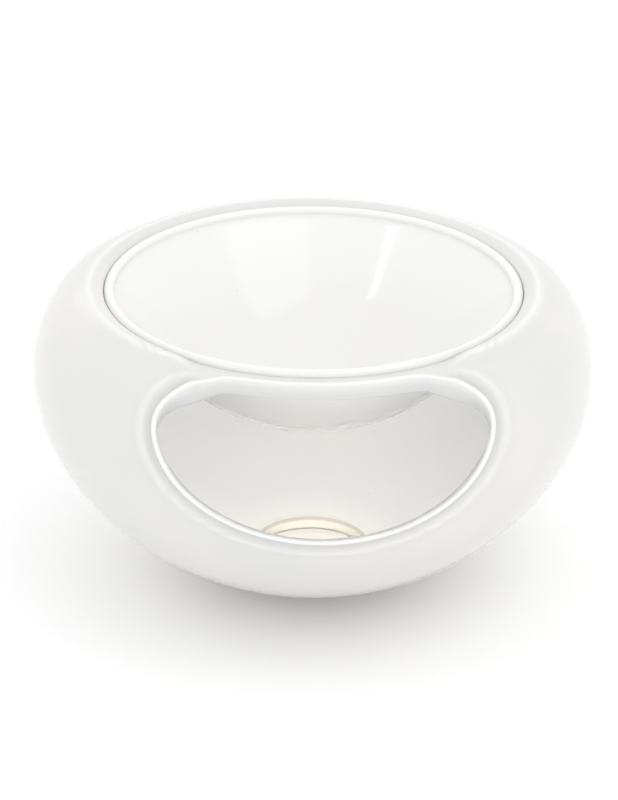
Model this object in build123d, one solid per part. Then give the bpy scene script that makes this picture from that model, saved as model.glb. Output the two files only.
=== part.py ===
from build123d import *
import os
from math import acos, asin, cos, degrees, pi, radians, sin, sqrt, tan

# A glazed ceramic oil burner: a round hollow shell with a window in front, an oil dish
# that lifts out of its top opening, and four soft pads under its foot.
# Millimetres. +Z is up, the window faces -Y, and the origin is the centre of the base
# hole in the plane of the foot's underside. The pads stand below that plane.

# Shell, outside
half_width = 82.5            # widest radius, at the equator
equator_height = 64.5        # height of the widest ring above the foot's underside
shoulder_rise = 26.8         # from the equator up to the top of the crest ring
belly_fullness = 1.84        # 2 is an ellipse, less is leaner towards the foot
foot_radius = 23.0
foot_height = 1.6

# Shell, inside
wall = 3.5
ledge_thickness = 3.5        # the ledge that carries the dish's rim
base_hole_radius = 17.0      # the used candle's cup is pushed up through this hole

# Top opening and the seat of the dish
opening_radius = 59.0
seat_depth = 3.6             # from the top of the crest down to the dish's seat
flank_width = 3.6            # from the edge of the seat recess out to the top of the crest
flank_drop = 2.0             # from the top of the crest to the edge of the seat recess
spigot_clearance = 0.4       # radial gap between the dish's spigot and the opening
rim_clearance = 0.4          # radial gap between the dish's rim and the recess

# Oil dish
rim_bead_radius = 1.5        # half-round top of the dish's rim
rim_overlap = 2.4            # how far the rim reaches out over the opening's edge
dish_depth = 35.0            # from the bottom of the spigot to the underside
dish_wall = 3.2
dish_flare = 47.5            # slope of the dish's straight flank, degrees from level
dish_rim_height = 3.0        # from the seat to the top of the rim

# Window
window_half_width = 46.2
window_centre_rise = 13.2    # from the equator up to the window's widest level
window_lower = 30.0          # half-ellipse below that level
window_upper = 17.0          # half-ellipse above that level
bridge_width = 4.1           # bridge between the seat recess and the top of the window
bridge_dip = 2.3             # how far the crest is lowered where it crosses the bridge
lip_width = 2.6              # raised lip round the window
groove_reach = 5.5           # from the window's edge to the crest outside the groove
groove_depth = 1.2

# Foot pads
pad_count = 4
pad_thickness = 1.2
pad_margin = 0.5             # ceramic left showing each side of a pad

# Lift-off travel of the dish
lift_clearance = 3.0

# Worked out from the values above
crest_height = equator_height + shoulder_rise
seat_height = crest_height - seat_depth
flank_height = crest_height - flank_drop
ledge_underside = seat_height - ledge_thickness
rim_radius = opening_radius + rim_overlap - rim_clearance
recess_radius = opening_radius + rim_overlap
crest_radius = recess_radius + flank_width
bridge_radius = recess_radius + bridge_width
spigot_radius = opening_radius - spigot_clearance
rim_top = seat_height + dish_rim_height
dish_bottom = ledge_underside - dish_depth
cutter_reach = 2 * half_width
cutter_height = 2 * crest_height
spline_points = 12


def superellipse(width, depth, angle):
    """A point of the belly's curve: angle 0 is the equator, 90 degrees is the axis."""
    power = 2 / belly_fullness
    return (width * cos(angle) ** power, equator_height - depth * sin(angle) ** power)


def belly_depth(width, height):
    """Depth of the full curve that passes through the foot's upper edge."""
    share = 1 - (foot_radius / width) ** belly_fullness
    return height / share ** (1 / belly_fullness)


outer_depth = belly_depth(half_width, equator_height - foot_height)
inner_depth = outer_depth - wall


def belly_curve(width, depth, end_angle):
    """Curve from the end angle up to the equator, level or sloped at its start."""
    angles = [end_angle * (1 - step / spline_points) for step in range(spline_points + 1)]
    points = [superellipse(width, depth, angle) for angle in angles]
    radius, height = points[0]
    lean = ((equator_height - height) / depth) ** (belly_fullness - 1) / depth
    rise = (max(radius, 0) / width) ** (belly_fullness - 1) / width
    return Spline(points, tangents=[(lean, rise), (0, 1)])


def spun(edges):
    """Solid of revolution about Z of a closed outline drawn in the XZ plane."""
    return revolve(Plane.XZ * make_face(edges), axis=Axis.Z)


def foot_angle(width, depth, height):
    """Angle at which a belly curve reaches a depth below the equator."""
    return asin(min(1.0, (height / depth) ** (belly_fullness / 2)))


def outer_body(inset):
    """Solid body inside the shell's outer face, moved inwards by the inset."""
    width = half_width - inset
    depth = outer_depth - inset
    rise = shoulder_rise - inset
    below = min(depth, equator_height - foot_height)
    belly = belly_curve(width, depth, foot_angle(width, depth, below))
    centre = (crest_radius, equator_height)
    shoulder = EllipticalCenterArc(centre, width - crest_radius, rise, 0, arc_size=90)
    top = equator_height + rise
    start = belly @ 0
    outline = [
        belly,
        shoulder,
        Line((crest_radius, top), (0, top)),
        Line((0, top), (0, start.Y)),
        Line((0, start.Y), (start.X, start.Y)),
    ]
    return spun(outline)


def chamber():
    """Hollow of the shell: belly, shoulder and the underside of the ledge."""
    width = half_width - wall
    rise = ledge_underside - equator_height
    belly = belly_curve(width, inner_depth, pi / 2)
    centre = (crest_radius, equator_height)
    shoulder = EllipticalCenterArc(centre, width - crest_radius, rise, 0, arc_size=90)
    outline = [
        belly,
        shoulder,
        Line((crest_radius, ledge_underside), (0, ledge_underside)),
        Line((0, ledge_underside), belly @ 0),
    ]
    return spun(outline)


def top_opening():
    """Cutter for the crest's inner flank, the seat recess and the opening below it."""
    reach = crest_radius - recess_radius
    centre = (crest_radius, flank_height)
    flank = EllipticalCenterArc(centre, reach, flank_drop, 90, arc_size=90)
    above = crest_height + seat_depth
    outline = [
        flank,
        Line((recess_radius, flank_height), (recess_radius, seat_height)),
        Line((recess_radius, seat_height), (opening_radius, seat_height)),
        Line((opening_radius, seat_height), (opening_radius, ledge_underside - wall)),
        Line((opening_radius, ledge_underside - wall), (0, ledge_underside - wall)),
        Line((0, ledge_underside - wall), (0, above)),
        Line((0, above), (crest_radius, above)),
        Line((crest_radius, above), (crest_radius, crest_height)),
    ]
    return spun(outline)


def window_prism(grow):
    """Window outline, grown by an offset, as a prism from the axis to the front."""
    centre = (0, equator_height + window_centre_rise)
    width = window_half_width + grow
    upper = EllipticalCenterArc(centre, width, window_upper + grow, 0, arc_size=180)
    lower = EllipticalCenterArc(centre, width, window_lower + grow, 180, arc_size=180)
    return extrude(Plane.XZ * make_face([upper, lower]), amount=cutter_reach)


def ring_cylinder(radius, low, high):
    return Pos(0, 0, (low + high) / 2) * Cylinder(radius, high - low)


def window_cutter():
    """The window stops at the bridge that carries the dish across the front."""
    return window_prism(0) - ring_cylinder(bridge_radius, 0, cutter_height)


def window_groove():
    """Shallow groove between the window's raised lip and the crest outside it."""
    band = window_prism(groove_reach) - window_prism(lip_width)
    return band - outer_body(groove_depth)


def bridge_cutter():
    """Lowers the crest ring where it crosses the bridge."""
    low = crest_height - bridge_dip
    return window_prism(groove_reach) & ring_cylinder(cutter_reach, low, cutter_height)


def burner_shell():
    foot = ring_cylinder(foot_radius, 0, foot_height)
    shell = outer_body(0) + foot
    shell = shell - chamber()
    shell = shell - top_opening()
    shell = shell - window_cutter()
    shell = shell - window_groove()
    shell = shell - bridge_cutter()
    return shell - ring_cylinder(base_hole_radius, -wall, equator_height)


def oil_dish():
    """Bowl with a round bottom, a straight flared flank, a spigot and a beaded rim."""
    slope = radians(dish_flare)
    round_radius = (spigot_radius * tan(slope) - dish_depth) / (1 / cos(slope) - 1)
    centre = (0, dish_bottom + round_radius)
    outside = CenterArc(centre, round_radius, -90, dish_flare)
    inside = CenterArc(centre, round_radius - dish_wall, -90, dish_flare)
    bead_centre = rim_radius - rim_bead_radius
    bead_height = rim_top - rim_bead_radius
    bead_inner = bead_centre - rim_bead_radius
    inner_flank = spigot_radius - dish_wall / sin(slope)
    flank_top = ledge_underside + (bead_inner - inner_flank) * tan(slope)
    outline = [
        outside,
        Line(outside @ 1, (spigot_radius, ledge_underside)),
        Line((spigot_radius, ledge_underside), (spigot_radius, seat_height)),
        Line((spigot_radius, seat_height), (rim_radius, seat_height)),
        Line((rim_radius, seat_height), (rim_radius, bead_height)),
        CenterArc((bead_centre, bead_height), rim_bead_radius, 0, 180),
        Line((bead_inner, bead_height), (bead_inner, flank_top)),
        Line((bead_inner, flank_top), inside @ 1),
        inside,
        Line(inside @ 0, outside @ 0),
    ]
    return spun(outline)


def foot_pad(index):
    """Round pad under the foot ring, midway between the hole and the foot's edge."""
    radius = (foot_radius - base_hole_radius) / 2 - pad_margin
    reach = (foot_radius + base_hole_radius) / 2
    turn = Rot(0, 0, 360 * (index + 0.5) / pad_count)
    return turn * Pos(reach, 0, -pad_thickness / 2) * Cylinder(radius, pad_thickness)


def main():
    os.makedirs("parts", exist_ok=True)
    export_step(burner_shell(), "parts/burner_shell.step")
    export_step(oil_dish(), "parts/oil_dish.step")
    for index in range(pad_count):
        export_step(foot_pad(index), f"parts/foot_pad_{index + 1}.step")
    lift = crest_height - dish_bottom + lift_clearance
    print(f"lift travel {lift:.1f} mm, crest at {crest_height:.1f} mm")


main()
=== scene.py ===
from math import acos, asin, cos, pi, radians, sin, tan

import bpy
import numpy as np
from bpy.props import FloatProperty, FloatVectorProperty, IntProperty, PointerProperty
from mathutils import Matrix, Vector


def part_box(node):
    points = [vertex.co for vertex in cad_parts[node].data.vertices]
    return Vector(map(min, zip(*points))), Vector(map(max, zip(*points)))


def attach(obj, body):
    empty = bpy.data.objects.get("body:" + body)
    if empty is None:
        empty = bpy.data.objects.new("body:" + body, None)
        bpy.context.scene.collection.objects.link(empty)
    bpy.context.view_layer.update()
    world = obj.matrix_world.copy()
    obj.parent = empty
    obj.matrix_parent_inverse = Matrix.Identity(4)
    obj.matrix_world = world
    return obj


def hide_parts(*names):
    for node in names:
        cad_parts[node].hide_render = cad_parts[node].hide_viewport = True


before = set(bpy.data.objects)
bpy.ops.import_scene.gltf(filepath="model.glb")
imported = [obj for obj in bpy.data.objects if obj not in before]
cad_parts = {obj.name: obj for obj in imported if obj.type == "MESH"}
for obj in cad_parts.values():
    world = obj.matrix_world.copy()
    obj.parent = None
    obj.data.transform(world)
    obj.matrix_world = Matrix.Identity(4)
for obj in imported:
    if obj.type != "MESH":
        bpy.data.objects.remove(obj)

# A glazed ceramic oil burner: a round hollow shell with a window in front, an oil dish
# that lifts out of its top, and four soft pads under the foot. Metres, +Z up, window at -Y.

bl_info = {
    "name": "Ceramic oil burner",
    "version": (1, 0, 0),
    "blender": (4, 5, 0),
    "location": "3D View > Sidebar > Oil burner",
    "description": "Builds a glazed oil burner, its dish, pads and studio around the packed frame",
    "category": "Add Mesh",
}

MM = 0.001
_, SHELL_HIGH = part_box("burner_shell")
DISH_LOW, DISH_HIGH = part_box("oil_dish")
BELLY_FULLNESS = 1.84                # 2 is an ellipse, less is leaner towards the foot
SAME_PLACE = 0.001 * MM              # vertices closer than this are one
PAD_NODES = sorted(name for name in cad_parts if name.startswith("foot_pad"))


def length(name, description, default):
    """A size in metres that a user can change."""
    return FloatProperty(name=name, description=description, default=default, unit="LENGTH",
                         subtype="DISTANCE", precision=5)


def tint(name, description, default):
    """A linear colour that a user can change."""
    return FloatVectorProperty(name=name, description=description, default=default,
                               subtype="COLOR", min=0, max=1, size=3)


class ShellSizes(bpy.types.PropertyGroup):
    half_width: length("Half width", "Widest radius, at the equator", SHELL_HIGH.x)
    equator: length("Equator height", "Height of the widest ring", 64.5 * MM)
    crest_height: length("Crest height", "Top of the crest ring", SHELL_HIGH.z)
    crest_radius: length("Crest radius", "Radius of the crest ring", 65.0 * MM)
    foot_radius: length("Foot radius", "Outside of the foot ring", 23.0 * MM)
    foot_height: length("Foot height", "Height of the foot ring", 1.6 * MM)
    hole_radius: length("Base hole radius", "Hole through the floor", 17.0 * MM)
    hole_top: length("Base hole top", "Height where the hole meets the floor", 3.63 * MM)
    wall: length("Wall", "Thickness of the shell's wall", 3.5 * MM)
    recess_radius: length("Recess radius", "Recess that takes the dish's rim", 61.12 * MM)
    opening_radius: length("Opening radius", "Top opening below the seat", 59.0 * MM)
    seat_drop: length("Seat depth", "From the crest down to the dish's seat", 3.6 * MM)
    flank_drop: length("Flank drop", "From the crest to the edge of the recess", 1.5 * MM)
    ledge: length("Ledge", "Thickness of the ledge under the dish's rim", 3.5 * MM)
    edge_round: length("Edge rounding", "Rounding of fired edges", 0.6 * MM)
    window_width: length("Window half width", "Half width of the window", 46.2 * MM)
    window_level: length("Window level", "Height of the window's widest part", 77.7 * MM)
    window_down: length("Window lower", "Half ellipse below that level", 30.0 * MM)
    window_up: length("Window upper", "Half ellipse above that level", 17.0 * MM)
    bridge_radius: length("Bridge radius", "Front edge of the bridge", 65.5 * MM)
    bridge_dip: length("Bridge dip", "How far the bridge lies below the crest", 2.3 * MM)
    lip_round: length("Lip rounding", "Rounding of the window's lip", 0.9 * MM)
    groove_depth: length("Groove depth", "Groove between the lip and its crest", 1.8 * MM)
    columns: IntProperty(name="Columns", description="Faces round the shell", default=144)


class DishSizes(bpy.types.PropertyGroup):
    rim_radius: length("Rim radius", "Outside of the rim", DISH_HIGH.x + 0.05 * MM)
    rim_top: length("Rim top", "Height of the rim's bead", DISH_HIGH.z)
    bottom: length("Bottom", "Height of the dish's underside", DISH_LOW.z)
    spigot_radius: length("Spigot radius", "Part that sits in the opening", 58.6 * MM)
    seat_height: length("Seat height", "Underside of the rim", 87.7 * MM)
    spigot_foot: length("Spigot foot", "Lower end of the spigot", 84.2 * MM)
    wall: length("Wall", "Thickness of the dish", 3.2 * MM)
    bead: length("Bead radius", "Half-round top of the rim", 1.5 * MM)
    edge_round: length("Edge rounding", "Rounding of fired edges", 0.4 * MM)
    flare: FloatProperty(name="Flare", description="Slope of the flank", default=radians(47.5),
                         subtype="ANGLE")
    columns: IntProperty(name="Columns", description="Faces round the dish", default=144)


class Finishes(bpy.types.PropertyGroup):
    glaze: tint("Glaze", "White glaze of the shell", (0.685, 0.683, 0.677))
    # Lighter than the shell's glaze, partly as painted light on the bowl that faces up to the lamps
    dish_glaze: tint("Dish glaze", "White glaze of the dish", (0.820, 0.819, 0.815))
    # Yellowish cast of the glaze, also used as painted bounce light near the base hole
    warm: tint("Warm glaze", "Where the glaze has a yellow cast", (0.800, 0.776, 0.715))
    # Grey of pooled glaze, used mostly as painted shade in grooves, hollows and recesses
    pooled: tint("Pooled glaze", "Where the glaze lies thick", (0.640, 0.642, 0.640))
    # Lighter than the glaze: thin glaze on ridges, and painted highlights on the lip, crest and
    # bead lines
    thin_and_highlight: tint("Thin glaze", "Where the glaze runs thin on ridges", (0.85, 0.85, 0.84))
    # Lighter and slightly warmer than the glaze: painted light on the lower belly, where the floor
    # shades it
    foot: tint("Foot glaze", "Thinner and warmer glaze near the foot", (0.83, 0.815, 0.795))
    clay: tint("Bare clay", "Unglazed foot ring and hole wall", (0.64, 0.61, 0.54))
    speck: tint("Speck", "Iron specks in the glaze", (0.32, 0.25, 0.19))
    silicone: tint("Silicone", "Clear soft pads", (0.80, 0.80, 0.78))
    floor: tint("Floor", "Studio floor", (0.97, 0.97, 0.97))


class StudioSizes(bpy.types.PropertyGroup):
    reach: length("Floor reach", "Half width of the floor", 3.0)
    camera_distance: length("Camera distance", "From the shell's centre", 0.8286)
    camera_height: FloatProperty(name="Camera elevation", description="Angle above level",
                                 default=radians(25.10), subtype="ANGLE")
    camera_pitch: FloatProperty(name="Camera pitch", description="Angle of the view below level",
                                default=radians(25.83), subtype="ANGLE")
    camera_turn: FloatProperty(name="Camera turn", description="Turn to the window's left",
                               default=radians(2.8), subtype="ANGLE")
    camera_roll: FloatProperty(name="Camera roll", description="Roll of the camera",
                               default=0.0098, subtype="ANGLE")
    camera_shift: FloatProperty(name="Camera shift", description="Sideways lens shift",
                                default=-0.0044)
    lens: FloatProperty(name="Lens", description="Focal length", default=126.2, unit="CAMERA")
    sky: FloatProperty(name="Sky", description="Strength of the even light", default=1.12)
    front: FloatProperty(name="Front", description="Front softbox", default=0.9, unit="POWER")
    high: FloatProperty(name="High", description="High softbox", default=0.9, unit="POWER")
    strip: FloatProperty(name="Strip", description="Each strip lamp", default=0.05, unit="POWER")
    back: FloatProperty(name="Back", description="Softbox behind", default=0.045, unit="POWER")
    fill: FloatProperty(name="Fill", description="Lamp that fills the chamber", default=0.065,
                        unit="POWER")


# ---------------------------------------------------------------- curves and rings


def arc(centre, across, up, start, end, count=24):
    """Points of an elliptical arc in the section plane, angles in degrees."""
    turns = np.radians(np.linspace(start, end, count))
    return np.column_stack([centre[0] + across * np.cos(turns), centre[1] + up * np.sin(turns)])


def belly(width, depth, equator, radius):
    """Points from a radius near the foot up to the equator."""
    power = 2 / BELLY_FULLNESS
    first = acos((radius / width) ** (1 / power))
    turns = np.linspace(first, 0, 120)
    return np.column_stack([width * np.cos(turns) ** power,
                            equator - depth * np.sin(turns) ** power])


def belly_depth(s):
    """Depth of the full curve that passes through the foot's upper edge."""
    share = 1 - (s.foot_radius / s.half_width) ** BELLY_FULLNESS
    return (s.equator - s.foot_height) / share ** (1 / BELLY_FULLNESS)


def fall(start, across, drop, count):
    """A curve that leaves its start level and falls ever more steeply."""
    way = np.linspace(0, 1, count)
    return np.column_stack([start[0] + across * way, start[1] - drop * way ** 2])


def run_length(points):
    """Length along a line at each of its points."""
    steps = np.hypot(*np.diff(points, axis=0).T)
    return np.concatenate([[0], np.cumsum(steps)])


def smoothstep(low, high, x):
    """0 below low, 1 above high, smooth between them."""
    share = np.clip((x - low) / (high - low), 0, 1)
    return share * share * (3 - 2 * share)


def bump(x):
    """1 at 0, falling smoothly to 0 at -1 and 1."""
    return np.where(np.abs(x) < 1, 0.5 + 0.5 * np.cos(np.pi * np.clip(x, -1, 1)), 0)


class Section:
    """A section line in four stretches, addressed by a station from 0 to 4."""

    def __init__(self, stretches):
        self.stretches = stretches
        self.runs = [run_length(points) for points in stretches]
        self.starts = np.concatenate([[0], np.cumsum([run[-1] for run in self.runs])])

    def at(self, station):
        """Radius and height at each station."""
        station = np.asarray(station, float)
        which = np.clip(station.astype(int), 0, len(self.stretches) - 1)
        place = np.zeros(station.shape + (2,))
        for index, (points, run) in enumerate(zip(self.stretches, self.runs)):
            here = which == index
            reach = (station[here] - index) * run[-1]
            place[here, 0] = np.interp(reach, run, points[:, 0])
            place[here, 1] = np.interp(reach, run, points[:, 1])
        return place

    def station(self, reach):
        """Station of each length measured along the section."""
        return np.interp(reach, self.starts, np.arange(len(self.starts)))

    def normal(self, station):
        """Unit normal in the section plane, to the right of the way the line runs."""
        step = 0.004
        along = self.at(np.clip(station + step, 0, 4)) - self.at(np.clip(station - step, 0, 4))
        along /= np.maximum(np.linalg.norm(along, axis=-1, keepdims=True), 1e-12)
        return np.stack([along[..., 1], -along[..., 0]], -1)


def shell_outside(s):
    """Hole edge and foot, belly, shoulder, then crest flank, seat and opening edge."""
    edge = s.edge_round
    curve = belly(s.half_width, belly_depth(s), s.equator, s.foot_radius + edge)
    seat = s.crest_height - s.seat_drop
    foot = np.vstack([
        [(s.hole_radius, 1.2 * MM)],
        arc((s.hole_radius + edge, edge), edge, edge, 180, 270, 8),
        arc((s.foot_radius - edge, edge), edge, edge, -90, 0, 8),
        [(s.foot_radius, 0.8 * s.foot_height)],
        curve[:1],
    ])
    shoulder = arc((s.crest_radius, s.equator), s.half_width - s.crest_radius,
                   s.crest_height - s.equator, 0, 90, 120)
    top = np.vstack([
        fall((s.crest_radius, s.crest_height), s.recess_radius - s.crest_radius, s.flank_drop, 40),
        arc((s.recess_radius - edge, seat + edge), edge, edge, 0, -90, 8),
        arc((s.opening_radius + edge, seat - edge), edge, edge, 90, 180, 8),
        [(s.opening_radius, seat - 1.4 * MM)],
    ])
    return Section([foot, curve, shoulder, top])


def shell_inside(s):
    """The same stations on the inner wall."""
    edge = s.edge_round
    width = s.half_width - s.wall
    under = s.crest_height - s.seat_drop - s.ledge
    floor_start = s.hole_radius + 2.5 * MM
    curve = belly(width, belly_depth(s) - s.wall, s.equator, floor_start)
    hole = np.vstack([
        [(s.hole_radius, 2.2 * MM)],
        arc((s.hole_radius + edge, s.hole_top - 0.4 * edge), edge, edge, 180, 100, 8),
        curve[:1],
    ])
    shoulder = arc((s.crest_radius, s.equator), width - s.crest_radius, under - s.equator,
                   0, 90, 120)
    ledge = np.vstack([
        [(s.crest_radius, under)],
        arc((s.opening_radius + edge, under + edge), edge, edge, -90, -180, 8),
        [(s.opening_radius, under + 1.4 * MM)],
    ])
    return Section([hole, curve, shoulder, ledge])


# ---------------------------------------------------------------- the shell's sheet

WRAP = 70.0 * MM                     # radius at which the flat sheet's width is true
FOOT_ROWS, BELLY_ROWS, SHOULDER_ROWS, TOP_ROWS = 9, 26, 13, 15
LOOPS = 18                           # rings of faces between the sheet and the window
OUTLINE_POINTS = 600
SOFT_REACH, SOFT_SPREAD = 24, 8      # smoothing of the window's outline, in points

# Distances from the window's edge to the relief round it
GROOVE_IN, GROOVE_OUT = (1.4 * MM, 2.9 * MM), (3.2 * MM, 5.2 * MM)
CREST_AT, CREST_REACH, CREST_RISE = 5.4 * MM, 1.4 * MM, 0.18 * MM
TROUGH_AT, TROUGH_REACH, TROUGH_DROP = 8.0 * MM, 2.2 * MM, 0.15 * MM

# Heights between which that relief fades out, and those above which the crest ring's starts
RELIEF_ENDS = (87.5 * MM, 90.6 * MM)
RING_STARTS = (80.0 * MM, 84.0 * MM)

# The dip of the crest over the window: half its length, how gradually it ends, and how
# softly it meets the crest
BRIDGE_TIP, BRIDGE_SPREAD, BRIDGE_SOFT = 38.0 * MM, 5.0 * MM, 0.25 * MM


def sheet_rows(section):
    """Lengths along the section where the flat sheet has its rows."""
    counts = (FOOT_ROWS, BELLY_ROWS, SHOULDER_ROWS, TOP_ROWS)
    rows = [np.linspace(low, high, count, endpoint=False)
            for low, high, count in zip(section.starts[:-1], section.starts[1:], counts)]
    return np.concatenate(rows + [[section.starts[-1]]])


def window_outline(s, section):
    """Closed outline of the window on the flat sheet, with its upper corners softened."""
    samples = 2000
    reach = np.linspace(section.starts[1], section.starts[3], samples)
    place = section.at(section.station(reach))
    upper = slice(samples // 2, None)
    bridge = np.interp(-s.bridge_radius, -place[upper, 0], reach[upper])
    bridge_level = np.interp(bridge, reach, place[:, 1])
    corner = asin(min(1.0, (bridge_level - s.window_level) / s.window_up))
    turns = np.concatenate([np.linspace(corner, 0, 120), np.linspace(0, -pi / 2, 160)[1:]])
    down = np.where(turns > 0, s.window_up, s.window_down)
    x = s.window_width * np.cos(turns)
    z = s.window_level + down * np.sin(turns)
    up = np.interp(z, place[:, 1], reach)
    radius = np.interp(up, reach, place[:, 0])
    right = np.column_stack([np.arcsin(x / radius) * WRAP, up])
    top = np.column_stack([np.linspace(0, right[0, 0], 80)[:-1], np.full(79, bridge)])
    half = np.vstack([top, right])
    whole = np.vstack([half, (half * (-1, 1))[::-1][:-1]])
    closed = np.vstack([whole, whole[:1]])
    run = run_length(closed)
    even = np.linspace(0, run[-1], OUTLINE_POINTS + 1)[:-1]
    line = np.column_stack([np.interp(even, run, closed[:, 0]),
                            np.interp(even, run, closed[:, 1])])
    spread = np.exp(-0.5 * (np.arange(-SOFT_REACH, SOFT_REACH + 1) / SOFT_SPREAD) ** 2)
    spread /= spread.sum()
    padded = np.vstack([line[-SOFT_REACH:], line, line[:SOFT_REACH]])
    return np.column_stack([np.convolve(padded[:, 0], spread, "valid"),
                            np.convolve(padded[:, 1], spread, "valid")])


def on_surface(section, flat):
    """Points of the flat sheet carried onto the surface of revolution."""
    place = section.at(section.station(flat[:, 1]))
    turn = flat[:, 0] / WRAP
    return np.column_stack([place[:, 0] * np.sin(turn), -place[:, 0] * np.cos(turn),
                            place[:, 1]])


def outward(section, flat):
    """Unit normals of the surface of revolution at points of the flat sheet."""
    normal = section.normal(section.station(flat[:, 1]))
    turn = flat[:, 0] / WRAP
    return np.column_stack([normal[:, 0] * np.sin(turn), -normal[:, 0] * np.cos(turn),
                            normal[:, 1]])


def nearest(points, line):
    """Distance from each point to the nearest point of a line, and that point's index."""
    gap = np.full(len(points), np.inf)
    which = np.zeros(len(points), int)
    for start in range(0, len(points), 2000):
        part = points[start:start + 2000]
        far = np.linalg.norm(part[:, None, :] - line[None, :, :], axis=2)
        which[start:start + 2000] = far.argmin(1)
        gap[start:start + 2000] = far.min(1)
    return gap, which


def relief(s, points, normals, edge):
    """Lip, groove and crest round the window and the dip of the bridge above it.

    Returns the moved points, where pooled glaze and painted shade darken the colour, and where thin
    glaze and painted highlights lighten it."""
    gap, which = nearest(points, edge)
    round_in = np.clip(s.lip_round - gap, 0, s.lip_round)
    lip = s.lip_round - np.sqrt(np.maximum(s.lip_round ** 2 - round_in ** 2, 0))
    beside = 1 - smoothstep(*RELIEF_ENDS, edge[which, 2])
    groove = smoothstep(*GROOVE_IN, gap) * (1 - smoothstep(*GROOVE_OUT, gap))
    crest = bump((gap - CREST_AT) / CREST_REACH)
    trough = bump((gap - TROUGH_AT) / TROUGH_REACH)
    height = beside * (CREST_RISE * crest - TROUGH_DROP * trough)
    height -= beside * s.groove_depth * groove + lip

    inside = 1 - smoothstep(BRIDGE_TIP - BRIDGE_SPREAD, BRIDGE_TIP + 0.5 * BRIDGE_SPREAD,
                            np.abs(points[:, 0]))
    flat = inside * (points[:, 1] < 0)
    radius = np.hypot(points[:, 0], points[:, 1])
    high = smoothstep(*RING_STARTS, points[:, 2])
    # A painted highlight line along the crest ring; it changes only the colour, not the surface
    crest_highlight = bump((radius - s.crest_radius - 0.4 * MM) / (1.3 * MM)) * high * (1 - flat)
    hollow = bump((radius - s.crest_radius - 4.2 * MM) / (2.8 * MM)) * high * (1 - flat)
    height -= 0.35 * MM * hollow * smoothstep(3 * MM, 7 * MM, gap)
    moved = points + normals * height[:, None]
    over = points[:, 2] - (s.crest_height - s.bridge_dip)
    excess = 0.5 * (over + np.sqrt(over * over + BRIDGE_SOFT ** 2))
    moved[:, 2] -= flat * excess

    recess = smoothstep(s.recess_radius - 0.4 * MM, s.recess_radius + 0.4 * MM, radius)
    recess *= 1 - smoothstep(s.crest_radius - 1.8 * MM, s.crest_radius, radius)
    band = flat * smoothstep(0.1 * MM, 0.8 * MM, excess) * smoothstep(0.7 * MM, 1.5 * MM, gap)
    # Painted shade along with the glaze's pooling: the groove, trough, recess, hollow and bridge
    # band are darkened in colour
    pool_and_shade = beside * (groove + 0.25 * trough) + high * 0.12 * recess * (1 - flat)
    pool_and_shade += 0.22 * hollow + 0.05 * band
    # Painted highlights, along with thin glaze: bright lines along the window's lip and its crest
    thin_and_highlight = bump((gap - 0.8 * MM) / (1.1 * MM))
    thin_and_highlight += 0.5 * beside * bump((gap - 5.5 * MM) / (1.0 * MM))
    return moved, np.clip(pool_and_shade, 0, 1), np.clip(thin_and_highlight + crest_highlight, 0, 1)


def mark(mesh, name, values):
    """Keeps a number at each vertex for the finish to read."""
    layer = mesh.attributes.get(name) or mesh.attributes.new(name, "FLOAT", "POINT")
    layer.data.foreach_set("value", np.ascontiguousarray(values, float))


def marked(mesh, name):
    """The numbers kept under a name."""
    values = np.zeros(len(mesh.vertices))
    mesh.attributes[name].data.foreach_get("value", values)
    return values


# ---------------------------------------------------------------- mesh work by hand


def start_clean():
    """Object mode with nothing selected."""
    if bpy.context.object and bpy.context.object.mode != "OBJECT":
        bpy.ops.object.mode_set(mode="OBJECT")
    bpy.ops.object.select_all(action="DESELECT")


def keep(name):
    """Names the new object and its mesh."""
    piece = bpy.context.object
    piece.name = name
    piece.data.name = name
    return piece


def edit(mode):
    bpy.ops.object.mode_set(mode="EDIT")
    bpy.ops.mesh.select_mode(type=mode)


def leave():
    bpy.ops.object.mode_set(mode="OBJECT")


def places(mesh):
    """All vertex places as an array."""
    flat = np.zeros(len(mesh.vertices) * 3)
    mesh.vertices.foreach_get("co", flat)
    return flat.reshape(-1, 3)


def place(mesh, points):
    mesh.vertices.foreach_set("co", np.ascontiguousarray(points, float).ravel())
    mesh.update()


def stored(points):
    """The places as a mesh keeps them, so that they can be compared."""
    return points.astype(np.float32).astype(float)


def chosen(mesh):
    """Mask of the selected vertices."""
    mask = np.zeros(len(mesh.vertices), bool)
    mesh.vertices.foreach_get("select", mask)
    return mask


def choose(mesh, verts=None, edges=None, faces=None):
    """Selects the elements of one kind where the mask is true, and nothing else."""
    for parts in (mesh.vertices, mesh.edges, mesh.polygons):
        parts.foreach_set("select", np.zeros(len(parts), bool))
    for parts, mask in ((mesh.vertices, verts), (mesh.edges, edges), (mesh.polygons, faces)):
        if mask is not None:
            parts.foreach_set("select", np.ascontiguousarray(mask, bool))


def subdivide(piece):
    """One level of Subdivision Surface, applied."""
    modifier = piece.modifiers.new("smooth", "SUBSURF")
    modifier.levels = 1
    modifier.render_levels = 1
    bpy.ops.object.modifier_apply(modifier=modifier.name)


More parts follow.
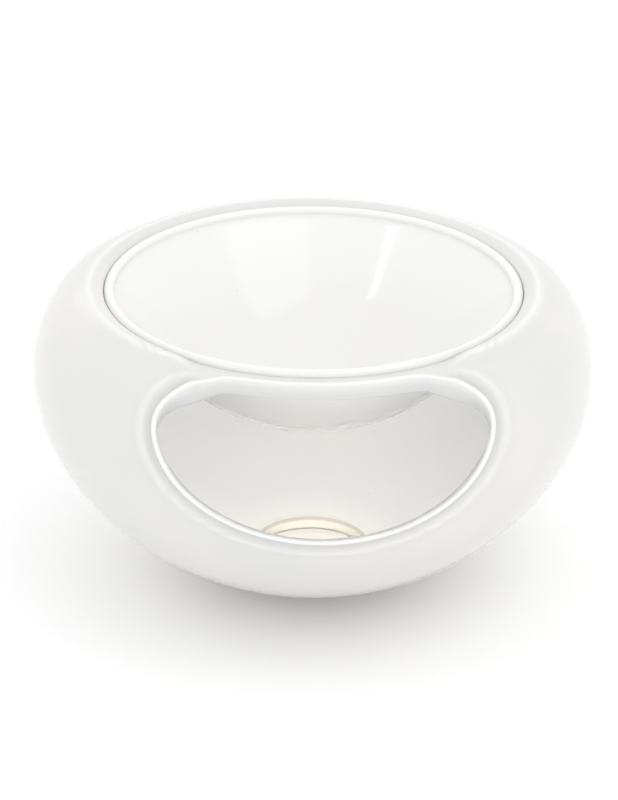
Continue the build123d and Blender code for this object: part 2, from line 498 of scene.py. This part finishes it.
def flat_sheet(s, section):
    """The shell's wall rolled out flat, with its window framed by closing rings."""
    rows = sheet_rows(section)
    columns = s.columns
    start_clean()
    bpy.ops.mesh.primitive_grid_add(x_subdivisions=columns, y_subdivisions=len(rows) - 1, size=1)
    sheet = keep("burner_shell_glazed")
    mesh = sheet.data
    grid = places(mesh)
    column = np.rint((grid[:, 0] - grid[:, 0].min()) * columns).astype(int)
    row = np.rint((grid[:, 1] - grid[:, 1].min()) * (len(rows) - 1)).astype(int)
    width = np.linspace(-pi, pi, columns + 1) * WRAP
    flat = np.column_stack([width[column], rows[row], np.zeros(len(grid))])
    place(mesh, flat)

    outline = window_outline(s, section)
    side = columns // 2 + int(np.ceil((outline[:, 0].max() + 16 * MM) / (width[1] - width[0])))
    left = columns - side
    low = int(np.searchsorted(rows, outline[:, 1].min() - 15 * MM))
    high = int(np.searchsorted(rows, section.starts[3] + 2.9 * MM))
    middle = np.zeros(len(mesh.polygons) * 3)
    mesh.polygons.foreach_get("center", middle)
    middle = middle.reshape(-1, 3)
    block = ((middle[:, 0] > width[left]) & (middle[:, 0] < width[side])
             & (middle[:, 1] > rows[low]) & (middle[:, 1] < rows[high]))
    choose(mesh, faces=block)
    edit("FACE")
    bpy.ops.mesh.delete(type="FACE")
    leave()

    ring = [(c, low) for c in range(left, side)]
    ring += [(side, r) for r in range(low, high)]
    ring += [(c, high) for c in range(side, left, -1)]
    ring += [(left, r) for r in range(high, low, -1)]
    border = stored(np.array([(width[c], rows[r]) for c, r in ring]))
    centre = (outline[:, 1].min() * 0.45 + outline[:, 1].max() * 0.55)
    loops = closing_loops(border, outline, centre)

    current = border
    # Edge mode with nothing chosen, before the ring's own edges are chosen.
    edit("EDGE")
    bpy.ops.mesh.select_all(action="DESELECT")
    leave()
    spots = {tuple(p): i for i, p in enumerate(current)}
    index = [spots.get(tuple(p[:2]), -1) for p in places(mesh)]
    on_ring = np.array(index) >= 0
    ends = np.zeros(len(mesh.edges) * 2, int)
    mesh.edges.foreach_get("vertices", ends)
    ends = ends.reshape(-1, 2)
    choose(mesh, verts=on_ring, edges=on_ring[ends].all(1))
    for loop in loops:
        edit("EDGE")
        bpy.ops.mesh.extrude_edges_move()
        leave()
        new = np.flatnonzero(chosen(mesh))
        spots = {tuple(p): i for i, p in enumerate(current)}
        points = places(mesh)
        for vertex in new:
            points[vertex, :2] = loop[spots[tuple(points[vertex, :2])]]
        place(mesh, points)
        current = loop
    return sheet, outline


def closing_loops(border, outline, centre):
    """Rings from the sheet's border to the window's outline, closer together near it."""
    middle = np.array([0, centre])
    reach = border[:, 0].max()
    above = border[:, 1].max() - centre
    below = centre - border[:, 1].min()

    def scaled(points):
        shifted = points - middle
        up = np.where(shifted[:, 1] > 0, above, below)
        return shifted / np.column_stack([np.full(len(points), reach), up])

    def unscaled(points):
        up = np.where(points[:, 1] > 0, above, below)
        return points * np.column_stack([np.full(len(points), reach), up]) + middle

    rim = scaled(border)
    edge = scaled(outline)
    edge_turn = np.arctan2(edge[:, 1], edge[:, 0])
    order = np.argsort(edge_turn)
    turn = np.arctan2(rim[:, 1], rim[:, 0])
    inner = np.interp(turn, edge_turn[order], np.hypot(edge[:, 0], edge[:, 1])[order],
                      period=2 * pi)
    outer = np.hypot(rim[:, 0], rim[:, 1])
    direction = rim / outer[:, None]
    gap = np.linalg.norm(unscaled(direction * inner[:, None]) - border, axis=1)
    bend = 3.4 * np.sqrt(np.clip((gap - 4 * MM) / (20 * MM), 0.002, 1))
    loops = []
    for step in range(LOOPS - 1, -1, -1):
        share = (np.exp(bend * step / LOOPS) - 1) / (np.exp(bend) - 1)
        radius = inner + (outer - inner) * share
        loops.append(stored(unscaled(direction * radius[:, None])))
    return loops


def merged():
    """Closes seams and poles of the active piece, which is in object mode."""
    edit("VERT")
    bpy.ops.mesh.select_all(action="SELECT")
    bpy.ops.mesh.remove_doubles(threshold=SAME_PLACE)
    leave()


def shell_mesh(s):
    """The shell: relief on the flat sheet, wrapped round, with an inner wall behind it."""
    section = shell_outside(s)
    inside = shell_inside(s)
    shell, outline = flat_sheet(s, section)
    mesh = shell.data
    flat = places(mesh)[:, :2]
    mark(mesh, "along", flat[:, 0])
    mark(mesh, "up", flat[:, 1])
    edge = on_surface(section, outline)
    moved, pool_and_shade, thin_and_highlight = relief(s, on_surface(section, flat), outward(section, flat), edge)
    place(mesh, moved)
    mark(mesh, "pool_and_shade", pool_and_shade)
    mark(mesh, "thin_and_highlight", thin_and_highlight)
    mark(mesh, "outer", np.ones(len(flat)))
    merged()

    edit("FACE")
    bpy.ops.mesh.select_all(action="SELECT")
    bpy.ops.mesh.extrude_region_move()
    leave()
    inner = chosen(mesh)
    flat = np.column_stack([marked(mesh, "along"), marked(mesh, "up")])
    points = places(mesh)
    place_in = flat[inner]
    gap, _ = nearest(on_surface(section, place_in), edge)
    middle = np.array([0, outline[:, 1].mean()])
    away = place_in - middle
    away /= np.linalg.norm(away, axis=1, keepdims=True)
    widen = 1.6 * MM * np.exp(-gap / (6 * MM))
    widen *= 1 - smoothstep(middle[1], outline[:, 1].max() - 6 * MM, place_in[:, 1])
    widened = place_in + away * widen[:, None]
    radial = inside.at(section.station(widened[:, 1]))
    turn = widened[:, 0] / WRAP
    points[inner] = np.column_stack([radial[:, 0] * np.sin(turn), -radial[:, 0] * np.cos(turn),
                                     radial[:, 1]])
    place(mesh, points)
    # The inner wall's band at the window's edge gets painted shade and no painted highlight
    rim = np.zeros(len(mesh.vertices))
    rim[inner] = gap < 0.8 * MM
    for name, at_rim in (("pool_and_shade", 1.5), ("thin_and_highlight", -0.8), ("outer", 0)):
        mark(mesh, name, np.where(inner, at_rim * rim, marked(mesh, name)))
    for name in ("along", "up"):
        mesh.attributes.remove(mesh.attributes[name])
    outward_faces()
    subdivide(shell)
    bpy.ops.object.shade_smooth()
    return shell


def outward_faces():
    """Turns the active piece's faces outwards."""
    edit("FACE")
    bpy.ops.mesh.select_all(action="SELECT")
    bpy.ops.mesh.normals_make_consistent(inside=False)
    leave()


def dish_section(d):
    """Open section of the dish, from the axis underneath to the axis inside."""
    slope = d.flare
    edge = d.edge_round
    depth = d.spigot_foot - d.bottom
    ball = (d.spigot_radius * tan(slope) - depth) / (1 / cos(slope) - 1)
    centre = (0, d.bottom + ball)
    turn = np.degrees(slope)
    bead_centre = (d.rim_radius - d.bead, d.rim_top - d.bead)
    bead_inner = bead_centre[0] - d.bead
    flank = d.spigot_radius - d.wall / sin(slope)
    flank_top = d.spigot_foot + (bead_inner - flank) * tan(slope)
    outside = arc(centre, ball, ball, -90, turn - 90, 22)
    inside = arc(centre, ball - d.wall, ball - d.wall, turn - 90, -90, 22)
    corner = np.array([d.spigot_radius, d.spigot_foot])
    lean = np.array([cos(slope), sin(slope)])
    upper = np.array([bead_inner, flank_top])
    return np.vstack([
        outside,
        np.linspace(outside[-1], corner - lean * edge, 6)[1:],
        [corner + (0, edge)],
        [(d.spigot_radius, d.seat_height - 1.2 * MM)],
        [(d.spigot_radius, d.seat_height - edge)],
        [(d.spigot_radius + edge, d.seat_height)],
        arc((d.rim_radius - edge, d.seat_height + edge), edge, edge, -90, 0, 5),
        fall((bead_centre[0], d.rim_top), d.bead, 0.7 * d.bead, 9)[::-1],
        arc(bead_centre, d.bead, d.bead, 90, 180, 9)[1:],
        [upper + (0, 0.5 * (bead_centre[1] - flank_top))],
        [upper + (0, 0.3 * MM)],
        [upper - lean * 0.5 * MM],
        np.linspace(upper - lean * 1.5 * MM, inside[0], 8)[:-1],
        inside,
    ])


def spun(name, line, columns):
    """A circle's points are moved to the section line, which is then spun about Z."""
    start_clean()
    bpy.ops.mesh.primitive_circle_add(vertices=len(line), radius=50 * MM, fill_type="NOTHING")
    piece = keep(name)
    mesh = piece.data
    place(mesh, np.column_stack([line[:, 0], np.zeros(len(line)), line[:, 1]]))
    ends = np.zeros(len(mesh.edges) * 2, int)
    mesh.edges.foreach_get("vertices", ends)
    ends = ends.reshape(-1, 2)
    choose(mesh, edges=np.abs(ends[:, 0] - ends[:, 1]) > 1)
    edit("EDGE")
    bpy.ops.mesh.delete(type="EDGE")
    bpy.ops.mesh.select_all(action="SELECT")
    bpy.ops.mesh.spin(steps=columns, angle=2 * pi, center=(0, 0, 0), axis=(0, 0, 1))
    leave()
    merged()
    outward_faces()
    return piece


def dish_mesh(d):
    """The dish, with the rim marked where thin glaze and a painted highlight lighten the bead, and
    where pooled glaze and painted shade darken beside it.
    """
    line = dish_section(d)
    line[0, 0] = 0
    line[-1, 0] = 0
    dish = spun("oil_dish_glazed", line, d.columns)
    points = places(dish.data)
    radius = np.hypot(points[:, 0], points[:, 1])
    top = smoothstep(d.rim_top - 1.6 * MM, d.rim_top - 0.6 * MM, points[:, 2])
    bead_radius = d.rim_radius - d.bead
    # Painted highlight on the bead's top and painted shade just outside it, along with thin and
    # pooled glaze
    mark(dish.data, "thin_and_highlight", top * bump((radius - bead_radius + 0.2 * MM) / (0.8 * MM)))
    mark(dish.data, "pool_and_shade", top * 0.4 * smoothstep(bead_radius, d.rim_radius, radius))
    subdivide(dish)
    bpy.ops.object.shade_smooth()
    return dish


def pad_mesh(node):
    """A soft pad with a rounded lower edge, as large as its node."""
    low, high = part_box(node)
    middle = (low + high) / 2
    radius = (high.x - low.x) / 2
    thick = high.z - low.z
    start_clean()
    bpy.ops.mesh.primitive_cylinder_add(vertices=40, radius=radius, depth=thick,
                                        location=middle, end_fill_type="NGON")
    pad = keep(node.replace("foot_pad", "soft_pad"))
    bpy.ops.object.transform_apply(location=True, rotation=False, scale=False)
    mesh = pad.data
    down = np.array([face.normal.z < -0.9 for face in mesh.polygons])
    choose(mesh, faces=down)
    edit("FACE")
    bpy.ops.mesh.bevel(offset=0.45 * MM, segments=4, affect="EDGES")
    bpy.ops.mesh.select_all(action="DESELECT")
    leave()
    caps = np.array([abs(face.normal.z) > 0.9 and len(face.vertices) > 4
                     for face in mesh.polygons])
    choose(mesh, faces=caps)
    edit("FACE")
    bpy.ops.mesh.inset(thickness=0.5 * MM)
    bpy.ops.mesh.poke()
    leave()
    bpy.ops.object.shade_smooth_by_angle(angle=radians(50))
    return pad


# ---------------------------------------------------------------- finishes


class Value:
    """A shader socket that takes part in Python expressions."""

    def __init__(self, finish, socket):
        self.finish = finish
        self.socket = socket

    def math(self, operation, first, second):
        return self.finish.node("ShaderNodeMath", {"operation": operation}, {0: first, 1: second})

    def __add__(self, other):
        return self.math("ADD", self, other)

    def __sub__(self, other):
        return self.math("SUBTRACT", self, other)

    def __mul__(self, other):
        return self.math("MULTIPLY", self, other)

    def __radd__(self, other):
        return self.math("ADD", other, self)

    def __rsub__(self, other):
        return self.math("SUBTRACT", other, self)


class Finish:
    """A material that is built by expressions."""

    def __init__(self, name, viewport):
        self.material = bpy.data.materials.new(name)
        self.material.use_nodes = True
        self.material.diffuse_color = (*viewport, 1)
        self.tree = self.material.node_tree
        self.shader = self.tree.nodes["Principled BSDF"]
        self.place = self.node("ShaderNodeTexCoord", {}, {}, "Object")

    def feed(self, socket, value):
        if isinstance(value, Value):
            self.tree.links.new(value.socket, socket)
        else:
            socket.default_value = value

    def node(self, kind, settings, inputs, output=0):
        """Any node: its settings first, then its inputs, and the output asked for."""
        node = self.tree.nodes.new(kind)
        for name, value in settings.items():
            setattr(node, name, value)
        for name, value in inputs.items():
            self.feed(node.inputs[name], value)
        return Value(self, node.outputs[output])

    def set(self, **inputs):
        """Sockets of the surface shader, with spaces written as underscores."""
        for name, value in inputs.items():
            self.feed(self.shader.inputs[name.replace("_", " ")], value)

    def mix(self, factor, first, second):
        """Blends two colours."""
        node = self.tree.nodes.new("ShaderNodeMix")
        node.data_type = "RGBA"
        colours = [c if isinstance(c, Value) else (*c, 1) for c in (first, second)]
        self.feed(node.inputs[0], factor)
        self.feed(node.inputs[6], colours[0])
        self.feed(node.inputs[7], colours[1])
        return Value(self, node.outputs[2])

    def noise(self, scale, detail=2.0, rough=0.5, warp=0.0):
        return self.node("ShaderNodeTexNoise", {"noise_dimensions": "3D"},
                         {"Vector": self.place, "Scale": scale, "Detail": detail,
                          "Roughness": rough, "Distortion": warp}, "Fac")

    def ramp(self, value, low, high):
        """0 below low, 1 above high, smooth between them."""
        return self.node("ShaderNodeMapRange", {"interpolation_type": "SMOOTHSTEP"},
                         {"Value": value, "From Min": low, "From Max": high}, "Result")

    def parts(self):
        """The place's height and its distance from the axis."""
        split = self.tree.nodes.new("ShaderNodeSeparateXYZ")
        self.feed(split.inputs[0], self.place)
        x, y, height = (Value(self, out) for out in split.outputs)
        level = self.node("ShaderNodeCombineXYZ", {}, {"X": x, "Y": y})
        radius = self.node("ShaderNodeVectorMath", {"operation": "LENGTH"}, {0: level}, "Value")
        return height, radius

    def bump(self, height, distance):
        return self.node("ShaderNodeBump", {}, {"Height": height, "Distance": distance,
                                                "Strength": 1.0}, "Normal")

    def marked(self, name):
        """A number kept at the mesh's vertices."""
        return self.node("ShaderNodeAttribute", {"attribute_name": name}, {}, "Fac")

    def specks(self, scale, size, seed_share):
        """A few small round specks: 1 in their middle."""
        node = self.tree.nodes.new("ShaderNodeTexVoronoi")
        node.voronoi_dimensions = "3D"
        node.feature = "F1"
        self.feed(node.inputs["Vector"], self.place)
        self.feed(node.inputs["Scale"], scale)
        near = Value(self, node.outputs["Distance"])
        split = self.tree.nodes.new("ShaderNodeSeparateColor")
        self.feed(split.inputs[0], Value(self, node.outputs["Color"]))
        lucky = self.ramp(Value(self, split.outputs[0]), 1 - seed_share, 1 - seed_share + 0.001)
        return (1 - self.ramp(near, size * 0.4, size)) * lucky


def glaze_finish(name, colour, p, chamber):
    """Glossy white glaze, with painted shade and highlights from the mesh's marks; the shell's also
    has a bare foot, painted yellowish bounce light on the chamber floor, painted light on the lower
    belly and a painted shade line at the hole's edge.
    """
    finish = Finish(name, colour)
    z, radius = finish.parts()
    drift = finish.noise(14, 2, 0.5, 0.4)
    cloud = finish.noise(55, 3, 0.55)
    base = finish.mix(finish.ramp(drift, 0.42, 0.72) * 0.35, colour, p.warm)
    base = finish.mix(finish.ramp(cloud, 0.5, 0.8) * 0.10, base, p.warm)
    # Painted shade and pooled glaze darken the grooves; painted highlights and thin glaze lighten
    # the ridges
    base = finish.mix(finish.marked("pool_and_shade") * 0.85, base, p.pooled)
    base = finish.mix(finish.marked("thin_and_highlight") * 0.8, base, p.thin_and_highlight)
    pinholes = finish.specks(420, 0.11, 0.012)
    base = finish.mix(pinholes * 0.55, base, p.speck)
    ripple = finish.noise(38, 2, 0.5)
    fine = finish.noise(900, 2, 0.5)
    gloss = 0.085 + cloud * 0.05 + pinholes * 0.3
    height = ripple + fine * 0.02 - pinholes * 0.6
    if chamber:
        # Painted bounce light: a yellowish glow on the chamber floor round the base hole
        near_floor = 1 - finish.ramp(z, 6 * MM, 14 * MM)
        painted_bounce = (1 - finish.ramp(radius, 17.5 * MM, 30 * MM)) * near_floor
        base = finish.mix(painted_bounce * (0.35 + cloud * 0.5), base, p.warm)
        # Painted light: the outer wall is lightened towards the foot, where the floor shades it
        low = finish.marked("outer") * (1 - finish.ramp(z, 6 * MM, 36 * MM))
        base = finish.mix(low * 0.8, base, p.foot)
        bare_foot = 1 - finish.ramp(z, 0.55 * MM, 0.95 * MM)
        bare_hole = 1 - finish.ramp(radius, 17.25 * MM, 17.6 * MM)
        bare = 1 - (1 - bare_foot) * (1 - bare_hole)
        grain = finish.noise(1500, 4, 0.65)
        clay = finish.mix(finish.ramp(grain, 0.35, 0.7) * 0.4, p.clay, p.warm)
        base = finish.mix(bare, base, clay)
        # Painted shade: a dark line along the base hole's top edge, where the edge turns down
        hole_edge_shade = finish.ramp(z, 3.0 * MM, 3.3 * MM) * (1 - finish.ramp(radius, 17.5 * MM, 17.9 * MM))
        base = finish.mix(hole_edge_shade * 0.5, base, p.speck)
        gloss = gloss * (1 - bare) + bare * 0.78
        height = height * (1 - bare) + bare * grain * 1.5
    finish.set(Base_Color=base, Roughness=gloss, IOR=1.5, Normal=finish.bump(height, 0.05 * MM),
               Subsurface_Weight=0.1, Subsurface_Radius=(2.5 * MM, 2.4 * MM, 2.2 * MM),
               Subsurface_Scale=1.0)
    return finish.material


def silicone_finish(p):
    """Cloudy, slightly dusty soft rubber."""
    finish = Finish("clear_silicone", p.silicone)
    cloud = finish.noise(600, 2, 0.5)
    dust = finish.noise(2600, 3, 0.6)
    base = finish.mix(finish.ramp(cloud, 0.4, 0.7) * 0.25, p.silicone, p.warm)
    finish.set(Base_Color=base, Roughness=0.30 + dust * 0.2, IOR=1.41,
               Normal=finish.bump(dust, 0.02 * MM))
    return finish.material


def floor_finish(p):
    """Plain pale floor, with painted shade and yellowish bounce light where it is seen through the
    base hole.
    """
    finish = Finish("studio_floor", p.floor)
    cloud = finish.noise(3, 3, 0.5)
    dimmer = [0.985 * channel for channel in p.floor]
    _, radius = finish.parts()
    base = finish.mix(cloud, p.floor, dimmer)
    # Painted shade and bounce light: a yellowish disc under the base hole
    base = finish.mix(1 - finish.ramp(radius, 17 * MM, 20 * MM), base, p.warm)
    finish.set(Base_Color=base, Roughness=0.75 + cloud * 0.1, Specular_IOR_Level=0.2)
    return finish.material


def finished(piece, material, body, slot, *nodes):
    """Gives a piece its material and body and hides the CAD nodes it stands for. The slot is not
    used.
    """
    piece.data.materials.clear()
    piece.data.materials.append(material)
    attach(piece, body)
    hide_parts(*nodes)


# ---------------------------------------------------------------- operators


class BURNER_OT_shell(bpy.types.Operator):
    """Models the glazed shell with its window, bridge and seat"""
    bl_idname = "oil_burner.shell"
    bl_label = "Shell"

    def execute(self, context):
        scene = context.scene
        shell = shell_mesh(scene.burner_shell)
        material = glaze_finish("shell_glaze", scene.burner_finishes.glaze,
                                scene.burner_finishes, True)
        finished(shell, material, "burner", "shell_glaze", "burner_shell")
        return {"FINISHED"}


class BURNER_OT_dish(bpy.types.Operator):
    """Models the oil dish that rests in the shell's top"""
    bl_idname = "oil_burner.dish"
    bl_label = "Dish"

    def execute(self, context):
        scene = context.scene
        dish = dish_mesh(scene.burner_dish)
        material = glaze_finish("dish_glaze", scene.burner_finishes.dish_glaze,
                                scene.burner_finishes, False)
        finished(dish, material, "dish", "dish_glaze", "oil_dish")
        return {"FINISHED"}


class BURNER_OT_pads(bpy.types.Operator):
    """Models the four soft pads under the foot"""
    bl_idname = "oil_burner.pads"
    bl_label = "Pads"

    def execute(self, context):
        material = silicone_finish(context.scene.burner_finishes)
        for node in PAD_NODES:
            finished(pad_mesh(node), material, "burner", "pad_silicone", node)
        return {"FINISHED"}


def soft_light(name, place_at, target, size, power):
    """A large soft lamp turned towards a point."""
    data = bpy.data.lights.new(name, "AREA")
    data.shape = "RECTANGLE"
    data.size, data.size_y = size
    data.energy = power
    lamp = bpy.data.objects.new(name, data)
    bpy.context.scene.collection.objects.link(lamp)
    way = Vector(target) - Vector(place_at)
    turn = way.to_track_quat("-Z", "Y").to_matrix().to_4x4()
    lamp.matrix_world = Matrix.Translation(place_at) @ turn
    return lamp


class BURNER_OT_studio(bpy.types.Operator):
    """Sets the floor, the soft lights and the camera"""
    bl_idname = "oil_burner.studio"
    bl_label = "Studio"

    def execute(self, context):
        scene = context.scene
        studio = scene.burner_studio
        start_clean()
        bottom = min(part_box(node)[0].z for node in PAD_NODES)
        bpy.ops.mesh.primitive_grid_add(x_subdivisions=8, y_subdivisions=8,
                                        size=2 * studio.reach, location=(0, 0, bottom))
        floor = keep("studio_floor")
        bpy.ops.object.transform_apply(location=True, rotation=False, scale=False)
        floor.data.materials.append(floor_finish(scene.burner_finishes))

        world = bpy.data.worlds.new("studio_light")
        world.use_nodes = True
        world.node_tree.nodes["Background"].inputs["Color"].default_value = (1, 1, 1, 1)
        world.node_tree.nodes["Background"].inputs["Strength"].default_value = studio.sky
        scene.world = world
        heart = Vector((0, 0, scene.burner_shell.equator))
        well = Vector((0, 0.04, 0.08))
        shoulder = Vector((-0.067, -0.013, 0.091))
        throw = 1.1
        soft_light("front_softbox", heart + Vector((-0.05, -1.20, 0.14)), heart, (0.75, 0.55),
                   studio.front)
        soft_light("high_softbox", well + throw * Vector((0.35, -0.39, 0.85)), well,
                   (0.70, 0.48), studio.high)
        for side in (-1, 1):
            lamp = well + throw * Vector((-0.544 + 0.03 * side, -0.234, 0.805))
            soft_light("strip_lamp", lamp, well, (0.025, 0.13), studio.strip)
        soft_light("back_softbox", shoulder + throw * Vector((-0.305, 0.863, 0.403)), shoulder,
                   (0.16, 0.22), studio.back)
        fill = soft_light("window_fill", Vector((0, -0.062, 0.056)), Vector((0, 0.05, 0.02)),
                          (0.06, 0.012), studio.fill)
        # Kept to the shell and the floor: the dish's underside is so close to this lamp
        # that it would come out too bright.
        lit = bpy.data.collections.new("lit_by_window_fill")
        lit.objects.link(bpy.data.objects["burner_shell_glazed"])
        lit.objects.link(floor)
        fill.data.spread = radians(140)
        fill.light_linking.receiver_collection = lit
        fill.visible_camera = False
        fill.visible_glossy = False
        self.camera(scene, studio, heart)
        scene.view_settings.view_transform = "Standard"
        return {"FINISHED"}

    def camera(self, scene, studio, heart):
        """A long lens in front and above, turned a little to the window's left."""
        data = bpy.data.cameras.new("camera")
        data.lens = studio.lens
        data.sensor_width = 36
        data.shift_x = studio.camera_shift
        data.clip_start = 0.01
        turn, lift, pitch = studio.camera_turn, studio.camera_height, studio.camera_pitch
        away = Vector((-sin(turn) * cos(lift), -cos(turn) * cos(lift), sin(lift)))
        right = Vector((cos(turn), -sin(turn), 0))
        ahead = Vector((sin(turn) * cos(pitch), cos(turn) * cos(pitch), -sin(pitch)))
        up = right.cross(ahead)
        roll = studio.camera_roll
        side = right * cos(roll) + up * sin(roll)
        top = up * cos(roll) - right * sin(roll)
        camera = bpy.data.objects.new("camera", data)
        scene.collection.objects.link(camera)
        axes = Matrix((side, top, -ahead)).transposed().to_4x4()
        camera.matrix_world = Matrix.Translation(heart + away * studio.camera_distance) @ axes
        scene.camera = camera


class BURNER_PT_panel(bpy.types.Panel):
    """Lists the oil burner's operators and sizes"""
    bl_idname = "BURNER_PT_panel"
    bl_label = "Oil burner"
    bl_space_type = "VIEW_3D"
    bl_region_type = "UI"
    bl_category = "Oil burner"

    def draw(self, context):
        layout = self.layout
        for operator in OPERATORS:
            layout.operator(operator.bl_idname)
        for name in GROUPS:
            group = getattr(context.scene, name)
            box = layout.box()
            for prop in group.bl_rna.properties:
                if prop.identifier in group.__annotations__:
                    box.prop(group, prop.identifier)


OPERATORS = (BURNER_OT_shell, BURNER_OT_dish, BURNER_OT_pads, BURNER_OT_studio)
GROUPS = {
    "burner_shell": ShellSizes,
    "burner_dish": DishSizes,
    "burner_finishes": Finishes,
    "burner_studio": StudioSizes,
}


def register():
    for group in (*GROUPS.values(), *OPERATORS, BURNER_PT_panel):
        bpy.utils.register_class(group)
    for name, group in GROUPS.items():
        setattr(bpy.types.Scene, name, PointerProperty(type=group))


def unregister():
    for name in GROUPS:
        delattr(bpy.types.Scene, name)
    for group in reversed((*GROUPS.values(), *OPERATORS, BURNER_PT_panel)):
        bpy.utils.unregister_class(group)


def main():
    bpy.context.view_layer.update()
    register()
    bpy.ops.oil_burner.shell()
    bpy.ops.oil_burner.dish()
    bpy.ops.oil_burner.pads()
    bpy.ops.oil_burner.studio()


if __name__ == "__main__":
    main()
